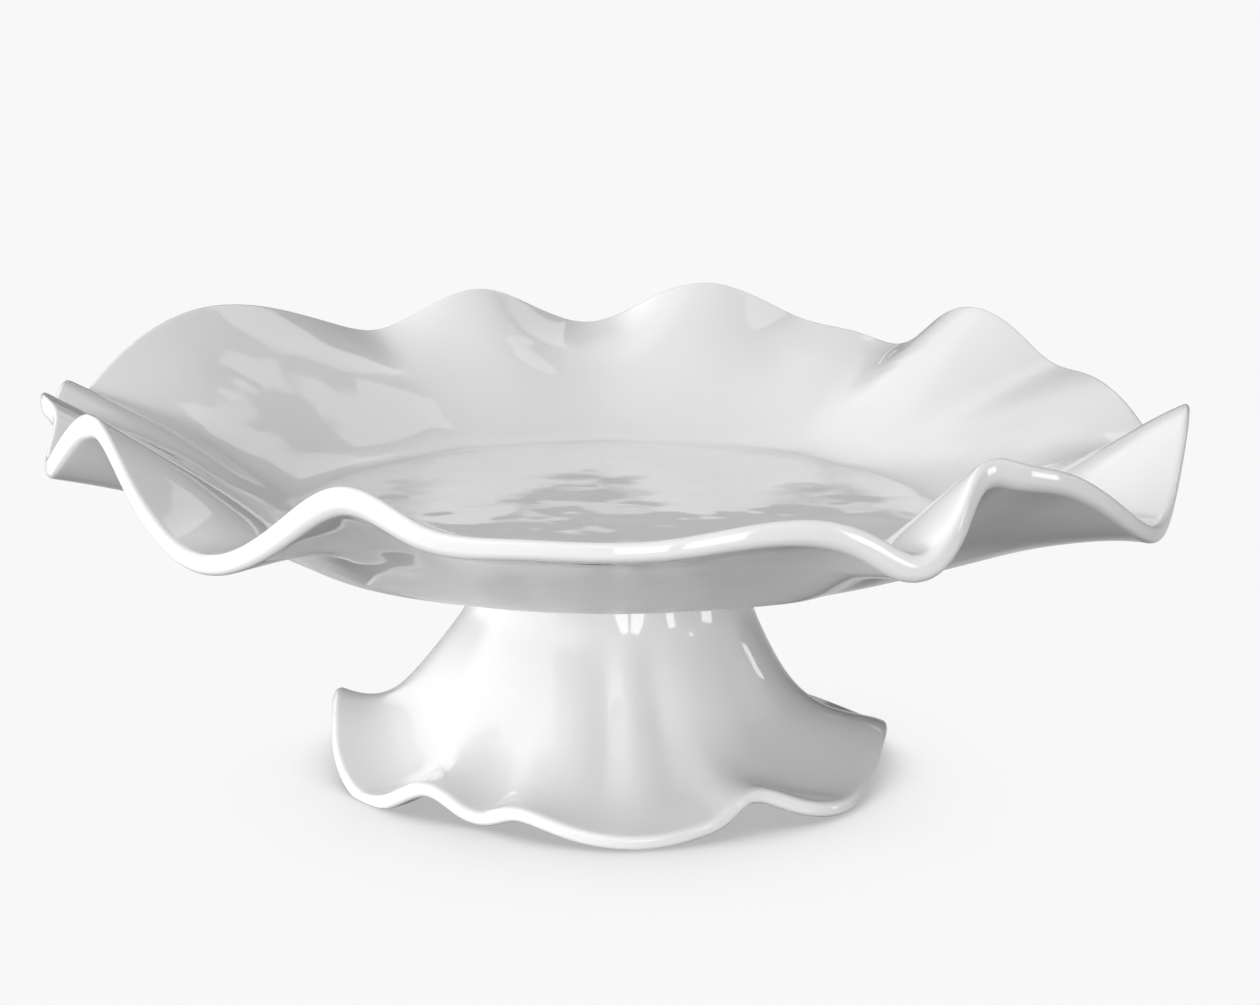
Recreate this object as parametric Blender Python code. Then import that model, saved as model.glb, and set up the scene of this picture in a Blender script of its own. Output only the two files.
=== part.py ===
"""Ruffled cake stand: a wavy plate clamped to a hollow, flared pedestal by one hidden screw.

The two big mouldings are thin shells. Each shell follows a middle surface that is blended
between the section of a dip and the section of a crest, and the rim knots say how high the
edge stands at each azimuth. The small parts are turned about the Z axis.

Metres, +Z up. The origin is on the table, under the middle of the stand. Azimuths are
degrees, counted counter-clockwise from +X as seen from above; the front is at 270.
"""
import math

import bmesh
import bpy
import numpy as np

# ---------------------------------------------------------------- driving dimensions
AZIMUTH_STEPS = 120          # around each ruffled shell
TURNED_STEPS = 40            # around the turned details, a third of the above
PLATE_RINGS = (0.0, 0.10, 0.22, 0.38, 0.56, 0.76)              # stations of the walls' rings
FOOT_RINGS = (0.0, 0.14, 0.28, 0.42, 0.56, 0.70, 0.82, 0.93)
EDGE_ARC_STEPS = 3           # points on each rounded corner of a rim
SMALL_STEPS = 24             # around the screw and its insert
SMOOTH_ANGLE = math.radians(32)

# Plate
FLOOR_TOP = 0.0830
FLOOR_THICKNESS = 0.0053
FLOOR_RADIUS = 0.104
RIM_CORNER = 0.0018
DIP_RIM = 0.104              # rim height, at mid thickness, that has the pure dip section
CREST_RIM = 0.131            # and the one that has the pure crest section
PLATE_STATIONS = (0.0, 0.10, 0.25, 0.50, 0.75, 1.0)
DIP_WALL = (0.08035, 0.0818, 0.0875, 0.0978, 0.1026, 0.1040)
CREST_WALL = (0.08035, 0.0824, 0.0898, 0.1045, 0.1180, 0.1310)
DIP_RIM_SLOPE = 0.003        # rise per unit of station at the rim
CREST_RIM_SLOPE = 0.050
# Rim knots: azimuth, mid-thickness height, reach from the axis
RIM_KNOTS = (
    (2, 0.0980, 0.186), (13, 0.1045, 0.186), (24, 0.1123, 0.186), (31.5, 0.1143, 0.186),
    (37, 0.1243, 0.184), (42.5, 0.1284, 0.184), (47, 0.1236, 0.185), (50, 0.1154, 0.185),
    (53, 0.1104, 0.186), (59, 0.1129, 0.186), (66, 0.1162, 0.186), (72, 0.1238, 0.185),
    (77.5, 0.1291, 0.184), (84, 0.1249, 0.184), (88, 0.1180, 0.185), (93.5, 0.1127, 0.186),
    (101, 0.1208, 0.185), (107, 0.1275, 0.184), (113, 0.1219, 0.185), (120, 0.1138, 0.186),
    (126, 0.1178, 0.185), (134, 0.1264, 0.184), (145, 0.1315, 0.184), (156, 0.1263, 0.184),
    (166, 0.1165, 0.184), (171.5, 0.1145, 0.183), (178, 0.1226, 0.1815), (185, 0.1185, 0.1815),
    (190.5, 0.1258, 0.182), (194.5, 0.1276, 0.1822), (199, 0.1238, 0.1797), (203.5, 0.1152, 0.1848),
    (210.3, 0.1254, 0.185), (217.8, 0.1345, 0.1845), (223.6, 0.1217, 0.1862),
    (233, 0.1043, 0.187), (241.8, 0.1160, 0.186), (248, 0.1278, 0.185), (254.5, 0.1202, 0.186),
    (262, 0.1178, 0.187), (275, 0.1179, 0.187), (285.5, 0.1208, 0.186), (292, 0.1146, 0.186),
    (297.3, 0.1080, 0.187), (300.6, 0.1180, 0.1866), (303.2, 0.1284, 0.184),
    (307.5, 0.1288, 0.184), (313.5, 0.1235, 0.185), (321.5, 0.1108, 0.186),
    (332, 0.0973, 0.186), (339, 0.1060, 0.185), (347, 0.1233, 0.1855), (354, 0.1140, 0.185),
)
# Rim thickness knots: azimuth, thickness
RIM_THICKNESS = (
    (30, 0.0058), (90, 0.0058), (150, 0.0058), (210, 0.0060), (236, 0.0060), (248, 0.0070),
    (259, 0.0060), (280, 0.0061), (297, 0.0076), (309, 0.0062), (340, 0.0060),
)
# How far the middle of the wall bulges up from its section: azimuth, rise
WALL_BELLY = (
    (0, -0.003), (60, 0.0), (120, 0.0), (180, 0.0), (232, 0.0022), (290, -0.0005), (308, -0.0046),
    (331, -0.0052), (345, -0.0045),
)

# Locating collar and screw boss under the plate
COLLAR_INNER = 0.0480
COLLAR_OUTER = 0.0510
COLLAR_BOTTOM = 0.0746
BOSS_RADIUS = 0.0110
BOSS_BOTTOM = 0.0700
INSERT_HOLE_RADIUS = 0.0048
INSERT_HOLE_TOP = 0.0797

# Pedestal
FOOT_THICKNESS = 0.0050
FOOT_CORNER = 0.0017
FOOT_DIP = 0.0026            # mid-thickness height of the foot's edge in a pure dip
FOOT_CREST = 0.0240
NECK_MIDDLE_RADIUS = 0.0436
FOOT_STATIONS = (0.0, 0.15, 0.30, 0.45, 0.60, 0.75, 0.90, 1.0)
DIP_RADII = (0.0436, 0.0440, 0.0465, 0.0502, 0.0560, 0.0660, 0.0810, 0.0930)
DIP_HEIGHTS = (0.0640, 0.0520, 0.0420, 0.0320, 0.0210, 0.0102, 0.0031, 0.0026)
CREST_RADII = (0.0436, 0.0453, 0.0511, 0.0590, 0.0668, 0.0742, 0.0832, 0.0900)
CREST_HEIGHTS = (0.0640, 0.0528, 0.0435, 0.0340, 0.0250, 0.0192, 0.0192, 0.0232)
DIP_END_SLOPES = (0.0, 0.110, -0.085, 0.002)       # radius then height, at neck and edge
CREST_END_SLOPES = (0.0, 0.065, -0.078, 0.048)
# Foot knots: azimuth, mid-thickness height, reach from the axis
FOOT_KNOTS = (
    (4, 0.0052, 0.0905), (15, 0.0027, 0.0875), (27, 0.0020, 0.0850), (40, 0.0021, 0.0850),
    (54, 0.0048, 0.0885), (68, 0.0020, 0.0935), (86, 0.0090, 0.090), (104, 0.0020, 0.094),
    (124, 0.0110, 0.091), (142, 0.0021, 0.090), (157, 0.0038, 0.0905), (167, 0.0085, 0.0920),
    (175, 0.0160, 0.0930), (183, 0.0208, 0.0935), (190, 0.0182, 0.0940), (197, 0.0110, 0.0955),
    (208, 0.0020, 0.096), (220, 0.0024, 0.0935), (228, 0.0092, 0.089), (238, 0.0038, 0.087),
    (243, 0.0030, 0.0865), (250, 0.0068, 0.088), (257, 0.0058, 0.0905), (264, 0.0033, 0.093),
    (271, 0.0020, 0.095), (281, 0.0020, 0.0945), (288, 0.0037, 0.093), (292.5, 0.0060, 0.092),
    (296.5, 0.0098, 0.0905), (301, 0.0110, 0.0895), (309, 0.0060, 0.094), (319, 0.0020, 0.0975),
    (331, 0.0042, 0.0952), (340, 0.0080, 0.0935), (350, 0.0104, 0.0925),
)
# Folds of the pedestal's body: azimuth, share of the crest section
FOOT_FOLDS = (
    (2, 0.24), (20, 0.06), (45, 0.04), (70, 0.06), (90, 0.20), (106, 0.06), (126, 0.28),
    (144, 0.10), (160, 0.34), (183, 0.84), (198, 0.50), (214, 0.30), (232, 0.30), (250, 0.36),
    (262, 0.30), (269, 0.05), (276.5, 0.27), (284.5, 0.07), (293, 0.16), (303, 0.24), (318, 0.06),
    (335, 0.17), (351, 0.28),
)
RUFFLE_START = 0.55          # the edge's ruffle grows from this station of the wall
RUFFLE_FULL = 0.96           # to this one
REACH_POWER = 3
# How far the lower part of the foot's wall swells up from its section: azimuth, rise
FOOT_SWELL = (
    (4, 0.0026), (24, 0.0), (80, 0.0), (160, 0.0), (183, 0.0004), (200, 0.0), (300, 0.0),
    (325, 0.0), (340, 0.0020), (352, 0.0038),
)

SWELL_POWER = 6              # the swell sits close to the edge
SWELL_PEAK = 17.66           # brings its highest point to one

# Deck that closes the pedestal's top
DECK_TOP = 0.0752
DECK_THICKNESS = 0.0060
DECK_RIM_RADIUS = 0.0475
DECK_HOLE_RADIUS = 0.0115
DECK_FILLET = 0.0030
DECK_RIM_DEPTH = 0.0015      # straight part of the deck's rim
DECK_FLARE_RISE = 0.0055     # where the rim meets the neck, above the top of the wall's section
DECK_FLARE = 0.0004          # and how far it stands out there

# Hidden clamp: heights from the table, radii from the axis
GASKET = {"inner": 0.0400, "outer": 0.0455, "bottom": 0.0755, "top": 0.0771}
CUSHION = {"inner": 0.0120, "outer": 0.0195, "bottom": 0.0673, "top": 0.0689}
FLAT_WASHER = {"inner": 0.0034, "outer": 0.0200, "bottom": 0.0654, "top": 0.0670}
LOCK_WASHER = {"inner": 0.0033, "outer": 0.0056, "bottom": 0.0635, "top": 0.0651}
INSERT = {"inner": 0.0032, "outer": 0.0045, "bottom": 0.0703, "top": 0.0794}
EDGE_BREAK = 0.0003
SCREW_RADIUS = 0.0029
SCREW_TOP = 0.0790
SCREW_HEAD_RADIUS = 0.00525
SCREW_HEAD_TOP = 0.0632
SCREW_HEAD_BOTTOM = 0.0599
SOCKET_CORNER_RADIUS = 0.0023
SOCKET_DEPTH = 0.0020
DOME_SWEEP = math.pi / 2.6   # angle of the head's curve, and how full its two axes are
DOME_WIDTH_POWER = 0.8
DOME_HEIGHT_POWER = 0.85


# ---------------------------------------------------------------- curves
def cubic_through(stations, values, bends):
    """Piecewise cubic through the stations, from the second derivatives at them."""
    stations = np.asarray(stations, float)
    values = np.asarray(values, float)

    def curve(position):
        position = np.asarray(position, float)
        last = len(stations) - 2
        span = np.clip(np.searchsorted(stations, position, side="right") - 1, 0, last)
        width = stations[span + 1] - stations[span]
        ahead = stations[span + 1] - position
        behind = position - stations[span]
        left = (values[span] / width - bends[span] * width / 6) * ahead
        right = (values[span + 1] / width - bends[span + 1] * width / 6) * behind
        curved = bends[span] * ahead**3 + bends[span + 1] * behind**3
        return curved / (6 * width) + left + right

    return curve


def open_curve(stations, values, first_slope, last_slope):
    """Smooth curve through the stations, with its slope given at both ends."""
    widths = np.diff(stations)
    slopes = np.diff(values) / widths
    count = len(stations)
    matrix = np.zeros((count, count))
    target = np.zeros(count)
    matrix[0, :2] = 2 * widths[0], widths[0]
    matrix[-1, -2:] = widths[-1], 2 * widths[-1]
    target[0] = 6 * (slopes[0] - first_slope)
    target[-1] = 6 * (last_slope - slopes[-1])
    for i in range(1, count - 1):
        matrix[i, i - 1 : i + 2] = widths[i - 1], 2 * (widths[i - 1] + widths[i]), widths[i]
        target[i] = 6 * (slopes[i] - slopes[i - 1])
    return cubic_through(stations, values, np.linalg.solve(matrix, target))


def closed_curve(knots, column):
    """Smooth curve through one column of the knots, repeating every 360 degrees of azimuth."""
    azimuths = np.array([knot[0] for knot in knots], float)
    values = np.array([knot[column] for knot in knots], float)
    count = len(knots)
    stations = np.append(azimuths, azimuths[0] + 360)
    widths = np.diff(stations)
    slopes = np.diff(np.append(values, values[0])) / widths
    matrix = np.zeros((count, count))
    target = np.zeros(count)
    for i in range(count):
        matrix[i, i - 1] += widths[i - 1]
        matrix[i, i] += 2 * (widths[i - 1] + widths[i])
        matrix[i, (i + 1) % count] += widths[i]
        target[i] = 6 * (slopes[i] - slopes[i - 1])
    bends = np.linalg.solve(matrix, target)
    curve = cubic_through(stations, np.append(values, values[0]), np.append(bends, bends[0]))
    return lambda azimuth: curve((np.asarray(azimuth, float) - azimuths[0]) % 360 + azimuths[0])


def azimuth_samples(steps, knots):
    """Even azimuths, with the nearest one moved onto each knot so that no crest is cut off."""
    samples = np.arange(steps) * 360.0 / steps
    for knot in knots:
        samples[int(round(knot[0] * steps / 360)) % steps] = knot[0]
    return samples


def to_points(azimuth, radius, height):
    angle = np.radians(azimuth)
    return np.stack([radius * np.cos(angle), radius * np.sin(angle), height + 0 * angle], axis=-1)


def edge_section(half_height, corner, arc_steps):
    """Rounded edge from the upper face to the lower one: (inset, share of half thickness)."""
    arc = np.linspace(0, math.pi / 2, arc_steps)
    upper = [(corner * (math.sin(a) - 1), 1 - corner * (1 - math.cos(a)) / half_height) for a in arc]
    lower = [(inset, -share) for inset, share in reversed(upper)]
    return upper + lower


# ---------------------------------------------------------------- middle surfaces
RIM_HEIGHT = closed_curve(RIM_KNOTS, 1)
RIM_REACH = closed_curve(RIM_KNOTS, 2)
RIM_DEPTH = closed_curve(RIM_THICKNESS, 1)
BELLY_RISE = closed_curve(WALL_BELLY, 1)
DIP_SECTION = open_curve(PLATE_STATIONS, DIP_WALL, 0.0, DIP_RIM_SLOPE)
CREST_SECTION = open_curve(PLATE_STATIONS, CREST_WALL, 0.0, CREST_RIM_SLOPE)

FOOT_HEIGHT = closed_curve(FOOT_KNOTS, 1)
FOOT_REACH = closed_curve(FOOT_KNOTS, 2)
SWELL_RISE = closed_curve(FOOT_SWELL, 1)
FOLD_SHARE = closed_curve(FOOT_FOLDS, 1)
DIP_RADIUS = open_curve(FOOT_STATIONS, DIP_RADII, *DIP_END_SLOPES[:2])
DIP_HEIGHT = open_curve(FOOT_STATIONS, DIP_HEIGHTS, *DIP_END_SLOPES[2:])
CREST_RADIUS = open_curve(FOOT_STATIONS, CREST_RADII, *CREST_END_SLOPES[:2])
CREST_HEIGHT = open_curve(FOOT_STATIONS, CREST_HEIGHTS, *CREST_END_SLOPES[2:])


def plate_middle(station, azimuth):
    """Point on the plate wall's middle surface; station 0 is the floor's edge, 1 the rim."""
    share = (RIM_HEIGHT(azimuth) - DIP_RIM) / (CREST_RIM - DIP_RIM)
    dip = DIP_SECTION(station)
    belly = 16 * station**2 * (1 - station) ** 2
    height = dip + share * (CREST_SECTION(station) - dip) + BELLY_RISE(azimuth) * belly
    radius = FLOOR_RADIUS + (RIM_REACH(azimuth) - FLOOR_RADIUS) * station
    return to_points(azimuth, radius, height)


def foot_middle(station, azimuth):
    """Point on the pedestal wall's middle surface; station 0 is the neck, 1 the foot's edge.

    Broad folds run all the way up to the neck; the edge's own ruffle dies out above it.
    """
    edge_share = (FOOT_HEIGHT(azimuth) - FOOT_DIP) / (FOOT_CREST - FOOT_DIP)
    fold_share = FOLD_SHARE(azimuth)
    ruffle = np.clip((station - RUFFLE_START) / (RUFFLE_FULL - RUFFLE_START), 0, 1)
    ruffle = ruffle**2 * (3 - 2 * ruffle)
    share = fold_share + (edge_share - fold_share) * ruffle
    edge_radius = DIP_RADIUS(1.0) * (1 - edge_share) + CREST_RADIUS(1.0) * edge_share
    radius = DIP_RADIUS(station) * (1 - share) + CREST_RADIUS(station) * share
    radius = radius + (FOOT_REACH(azimuth) - edge_radius) * station**REACH_POWER
    height = DIP_HEIGHT(station) * (1 - share) + CREST_HEIGHT(station) * share
    swell = SWELL_PEAK * station**SWELL_POWER * (1 - station)
    return to_points(azimuth, radius, height + SWELL_RISE(azimuth) * swell)


def surface_frame(surface, station, azimuth):
    """Point, upward unit normal, and metres per unit of station."""
    small_station = 1e-4
    small_azimuth = 1e-2
    point = surface(station, azimuth)
    along = (point - surface(station - small_station, azimuth)) / small_station
    around = surface(station, azimuth + small_azimuth) - surface(station, azimuth - small_azimuth)
    normal = np.cross(around, along)
    normal /= np.linalg.norm(normal, axis=-1, keepdims=True)
    return point, -normal, np.linalg.norm(along, axis=-1)


def plate_ring(station, share, azimuth):
    """Ring of the plate wall: share +1 is its upper face and -1 its lower one.

    The thickness is set off straight up and down, so the rim is cut upright all round.
    """
    point, normal, _ = surface_frame(plate_middle, station, azimuth)
    thickness = FLOOR_THICKNESS + (RIM_DEPTH(azimuth) - FLOOR_THICKNESS) * station**2
    point[:, 2] += share * thickness / 2 / np.abs(normal[:, 2])
    return point


def foot_ring(station, share, azimuth):
    """Ring of the pedestal wall: share +1 is its outer face and -1 its hollow side."""
    point, normal, _ = surface_frame(foot_middle, station, azimuth)
    point = point + normal * share * FOOT_THICKNESS / 2
    point[:, 2] = np.maximum(point[:, 2], 0.0)
    return point


# ---------------------------------------------------------------- meshes
def flat_ring(radius, height, steps):
    return to_points(np.arange(steps) * 360.0 / steps, radius, height)


def loft(rings, close_loop):
    """Closed mesh through rings of points; a ring may have a whole multiple of its neighbour's.

    The ends are filled, or joined to each other when close_loop is set.
    """
    mesh = bmesh.new()
    loops = [[mesh.verts.new(point) for point in ring] for ring in rings]
    pairs = list(zip(loops, loops[1:]))
    if close_loop:
        pairs.append((loops[-1], loops[0]))
    else:
        mesh.faces.new(loops[0])
        mesh.faces.new(list(reversed(loops[-1])))
    for upper, lower in pairs:
        join_rings(mesh, upper, lower)
    bmesh.ops.triangulate(mesh, faces=mesh.faces[:])
    bmesh.ops.recalc_face_normals(mesh, faces=mesh.faces[:])
    return mesh


def join_rings(mesh, upper, lower):
    steps = min(len(upper), len(lower))
    upper_ratio = len(upper) // steps
    lower_ratio = len(lower) // steps
    for i in range(steps):
        upper_run = [upper[(i * upper_ratio + k) % len(upper)] for k in range(upper_ratio + 1)]
        lower_run = [lower[(i * lower_ratio + k) % len(lower)] for k in range(lower_ratio + 1)]
        mesh.faces.new(upper_run + list(reversed(lower_run)))


def add_object(name, mesh, material):
    data = bpy.data.meshes.new(name)
    mesh.to_mesh(data)
    mesh.free()
    data.materials.append(material)
    data.shade_smooth()
    data.set_sharp_from_angle(angle=SMOOTH_ANGLE)
    piece = bpy.data.objects.new(name, data)
    bpy.context.scene.collection.objects.link(piece)
    return piece


def add_material(name, colour, roughness, metallic):
    material = bpy.data.materials.new(name)
    material.use_nodes = True
    shader = material.node_tree.nodes["Principled BSDF"]
    shader.inputs["Base Color"].default_value = (*colour, 1.0)
    shader.inputs["Roughness"].default_value = roughness
    shader.inputs["Metallic"].default_value = metallic
    return material


# ---------------------------------------------------------------- mouldings
def make_plate(material):
    azimuth = azimuth_samples(AZIMUTH_STEPS, RIM_KNOTS)
    reach = RIM_REACH(azimuth) - FLOOR_RADIUS
    wall = PLATE_RINGS
    floor_bottom = FLOOR_TOP - FLOOR_THICKNESS
    rings = [plate_ring(np.full(AZIMUTH_STEPS, station), 1.0, azimuth) for station in wall]
    for inset, share in edge_section(FLOOR_THICKNESS / 2, RIM_CORNER, EDGE_ARC_STEPS):
        rings.append(plate_ring(1.0 + inset / reach, share, azimuth))
    rings += [plate_ring(np.full(AZIMUTH_STEPS, station), -1.0, azimuth) for station in reversed(wall)]
    turned = (
        (COLLAR_OUTER, floor_bottom), (COLLAR_OUTER, COLLAR_BOTTOM),
        (COLLAR_INNER, COLLAR_BOTTOM), (COLLAR_INNER, floor_bottom),
        (BOSS_RADIUS, floor_bottom), (BOSS_RADIUS, BOSS_BOTTOM),
        (INSERT_HOLE_RADIUS, BOSS_BOTTOM), (INSERT_HOLE_RADIUS, INSERT_HOLE_TOP),
    )
    rings += [flat_ring(radius, height, TURNED_STEPS) for radius, height in turned]
    return add_object("plate", loft(rings, close_loop=False), material)


def make_pedestal(material):
    azimuth = azimuth_samples(AZIMUTH_STEPS, FOOT_KNOTS)
    wall = FOOT_RINGS
    _, _, pace = surface_frame(foot_middle, np.ones(AZIMUTH_STEPS), azimuth)
    outer = NECK_MIDDLE_RADIUS + FOOT_THICKNESS / 2
    inner = NECK_MIDDLE_RADIUS - FOOT_THICKNESS / 2
    deck_bottom = DECK_TOP - DECK_THICKNESS
    neck_top = DIP_HEIGHTS[0]
    deck = (
        (inner, deck_bottom - DECK_FILLET), (inner - DECK_FILLET / 3, deck_bottom - DECK_FILLET / 3),
        (inner - DECK_FILLET, deck_bottom), (DECK_HOLE_RADIUS, deck_bottom),
        (DECK_HOLE_RADIUS, DECK_TOP), (DECK_RIM_RADIUS - EDGE_BREAK, DECK_TOP),
        (DECK_RIM_RADIUS, DECK_TOP - EDGE_BREAK), (DECK_RIM_RADIUS, DECK_TOP - DECK_RIM_DEPTH),
        (outer + DECK_FLARE, neck_top + DECK_FLARE_RISE),
    )
    rings = [flat_ring(radius, height, TURNED_STEPS) for radius, height in deck]
    rings += [foot_ring(np.full(AZIMUTH_STEPS, station), 1.0, azimuth) for station in wall]
    for inset, share in edge_section(FOOT_THICKNESS / 2, FOOT_CORNER, EDGE_ARC_STEPS):
        rings.append(foot_ring(1.0 + inset / pace, share, azimuth))
    rings += [foot_ring(np.full(AZIMUTH_STEPS, station), -1.0, azimuth) for station in reversed(wall)]
    return add_object("pedestal", loft(rings, close_loop=True), material)


# ---------------------------------------------------------------- hidden clamp
def make_washer(name, size, steps, material):
    """Flat ring with lightly broken edges."""
    inner, outer, bottom, top = size["inner"], size["outer"], size["bottom"], size["top"]
    section = (
        (inner, top - EDGE_BREAK), (inner + EDGE_BREAK, top),
        (outer - EDGE_BREAK, top), (outer, top - EDGE_BREAK),
        (outer, bottom + EDGE_BREAK), (outer - EDGE_BREAK, bottom),
        (inner + EDGE_BREAK, bottom), (inner, bottom + EDGE_BREAK),
    )
    rings = [flat_ring(radius, height, steps) for radius, height in section]
    return add_object(name, loft(rings, close_loop=True), material)


def make_screw(material):
    """Button-head screw, head down, with a hexagon socket."""
    dome = SCREW_HEAD_TOP - SCREW_HEAD_BOTTOM
    turned = [(SCREW_RADIUS - 2 * EDGE_BREAK, SCREW_TOP), (SCREW_RADIUS, SCREW_TOP - 2 * EDGE_BREAK)]
    turned += [(SCREW_RADIUS, SCREW_HEAD_TOP), (SCREW_HEAD_RADIUS, SCREW_HEAD_TOP)]
    for turn in (0.25, 0.5, 0.75, 1.0):
        radius = SCREW_HEAD_RADIUS * math.cos(turn * DOME_SWEEP) ** DOME_WIDTH_POWER
        turned.append((radius, SCREW_HEAD_TOP - dome * turn**DOME_HEIGHT_POWER))
    rings = [flat_ring(radius, height, SMALL_STEPS) for radius, height in turned]
    rings.append(flat_ring(SOCKET_CORNER_RADIUS, SCREW_HEAD_BOTTOM, 6))
    rings.append(flat_ring(SOCKET_CORNER_RADIUS, SCREW_HEAD_BOTTOM + SOCKET_DEPTH, 6))
    return add_object("clamp_screw", loft(rings, close_loop=False), material)


def main():
    for old in list(bpy.data.objects):
        bpy.data.objects.remove(old, do_unlink=True)

    white = (0.86, 0.87, 0.865)
    make_plate(add_material("plate_glossy_white", white, 0.12, 0.0))
    make_pedestal(add_material("pedestal_glossy_white", white, 0.12, 0.0))
    clear = add_material("gasket_clear_rubber", (0.72, 0.73, 0.72), 0.5, 0.0)
    make_washer("seat_gasket", GASKET, TURNED_STEPS, clear)
    brass = add_material("insert_brass", (0.72, 0.52, 0.22), 0.3, 1.0)
    make_washer("threaded_insert", INSERT, SMALL_STEPS, brass)
    black = add_material("cushion_rubber", (0.10, 0.10, 0.10), 0.7, 0.0)
    make_washer("cushion_washer", CUSHION, TURNED_STEPS, black)
    zinc = add_material("washer_steel", (0.62, 0.63, 0.64), 0.35, 1.0)
    make_washer("flat_washer", FLAT_WASHER, TURNED_STEPS, zinc)
    spring = add_material("lock_washer_steel", (0.55, 0.56, 0.57), 0.4, 1.0)
    make_washer("lock_washer", LOCK_WASHER, SMALL_STEPS, spring)
    make_screw(add_material("screw_steel", (0.60, 0.61, 0.62), 0.3, 1.0))


main()
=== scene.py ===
import math

import bmesh
import bpy
import numpy as np
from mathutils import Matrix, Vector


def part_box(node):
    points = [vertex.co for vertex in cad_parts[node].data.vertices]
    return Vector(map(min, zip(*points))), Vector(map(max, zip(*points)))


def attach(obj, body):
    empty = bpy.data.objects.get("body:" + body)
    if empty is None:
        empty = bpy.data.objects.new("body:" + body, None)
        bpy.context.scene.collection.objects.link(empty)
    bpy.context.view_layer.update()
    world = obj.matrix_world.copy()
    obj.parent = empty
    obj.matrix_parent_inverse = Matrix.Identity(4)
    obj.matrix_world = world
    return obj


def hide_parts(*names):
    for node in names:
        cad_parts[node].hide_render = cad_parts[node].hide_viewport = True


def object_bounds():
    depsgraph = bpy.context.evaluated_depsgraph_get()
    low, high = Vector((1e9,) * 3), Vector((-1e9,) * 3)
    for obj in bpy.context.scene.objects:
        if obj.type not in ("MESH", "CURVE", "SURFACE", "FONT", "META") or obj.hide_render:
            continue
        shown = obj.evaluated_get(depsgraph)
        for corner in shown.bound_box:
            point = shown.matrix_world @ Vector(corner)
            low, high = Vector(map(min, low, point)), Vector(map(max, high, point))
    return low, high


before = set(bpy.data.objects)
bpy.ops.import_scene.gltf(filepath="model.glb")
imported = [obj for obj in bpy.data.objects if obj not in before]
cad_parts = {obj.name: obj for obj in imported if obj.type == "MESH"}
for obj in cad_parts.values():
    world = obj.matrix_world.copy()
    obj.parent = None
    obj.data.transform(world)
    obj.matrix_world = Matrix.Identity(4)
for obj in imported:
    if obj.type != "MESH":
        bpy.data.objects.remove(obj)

CAD_LOW, CAD_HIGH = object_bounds()

# ---------------------------------------------------------------- sizes shared with the CAD
FLOOR_TOP = 0.0830
FLOOR_THICKNESS = 0.0053
FLOOR_RADIUS = 0.104
RIM_CORNER = 0.0018
DIP_RIM = 0.104
CREST_RIM = 0.131
PLATE_STATIONS = (0.0, 0.10, 0.25, 0.50, 0.75, 1.0)
DIP_WALL = (0.08035, 0.0818, 0.0875, 0.0978, 0.1026, 0.1040)
CREST_WALL = (0.08035, 0.0824, 0.0898, 0.1045, 0.1180, 0.1310)
DIP_RIM_SLOPE = 0.003
CREST_RIM_SLOPE = 0.050
# Rim knots: azimuth, mid-thickness height, reach from the axis
RIM_KNOTS = (
    (2, 0.0980, 0.186), (13, 0.1045, 0.186), (24, 0.1123, 0.186), (31.5, 0.1143, 0.186),
    (37, 0.1243, 0.184), (42.5, 0.1284, 0.184), (47, 0.1236, 0.185), (50, 0.1154, 0.185),
    (53, 0.1104, 0.186), (59, 0.1129, 0.186), (66, 0.1162, 0.186), (72, 0.1238, 0.185),
    (77.5, 0.1291, 0.184), (84, 0.1249, 0.184), (88, 0.1180, 0.185), (93.5, 0.1127, 0.186),
    (101, 0.1208, 0.185), (107, 0.1275, 0.184), (113, 0.1219, 0.185), (120, 0.1138, 0.186),
    (126, 0.1178, 0.185), (134, 0.1264, 0.184), (145, 0.1315, 0.184), (156, 0.1263, 0.184),
    (166, 0.1165, 0.184), (171.5, 0.1145, 0.183), (178, 0.1226, 0.1815), (185, 0.1185, 0.1815),
    (190.5, 0.1258, 0.182), (194.5, 0.1276, 0.1822), (199, 0.1238, 0.1797), (203.5, 0.1152, 0.1848),
    (210.3, 0.1254, 0.185), (217.8, 0.1345, 0.1845), (223.6, 0.1217, 0.1862),
    (233, 0.1043, 0.187), (241.8, 0.1160, 0.186), (248, 0.1278, 0.185), (254.5, 0.1202, 0.186),
    (262, 0.1178, 0.187), (275, 0.1179, 0.187), (285.5, 0.1208, 0.186), (292, 0.1146, 0.186),
    (297.3, 0.1080, 0.187), (300.6, 0.1180, 0.1866), (303.2, 0.1284, 0.184),
    (307.5, 0.1288, 0.184), (313.5, 0.1235, 0.185), (321.5, 0.1108, 0.186),
    (332, 0.0973, 0.186), (339, 0.1060, 0.185), (347, 0.1233, 0.1855), (354, 0.1140, 0.185),
)
# Rim thickness knots: azimuth, thickness
RIM_THICKNESS = (
    (30, 0.0058), (90, 0.0058), (150, 0.0058), (210, 0.0060), (236, 0.0060), (248, 0.0070),
    (259, 0.0060), (280, 0.0061), (297, 0.0076), (309, 0.0062), (340, 0.0060),
)
# How far the middle of the wall bulges up from its section: azimuth, rise
WALL_BELLY = (
    (0, -0.003), (60, 0.0), (120, 0.0), (180, 0.0), (232, 0.0022), (290, -0.0005), (308, -0.0046),
    (331, -0.0052), (345, -0.0045),
)

COLLAR_INNER = 0.0480
COLLAR_OUTER = 0.0510
COLLAR_BOTTOM = 0.0746
BOSS_RADIUS = 0.0110
BOSS_BOTTOM = 0.0700
INSERT_HOLE_RADIUS = 0.0048
INSERT_HOLE_TOP = 0.0797

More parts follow.
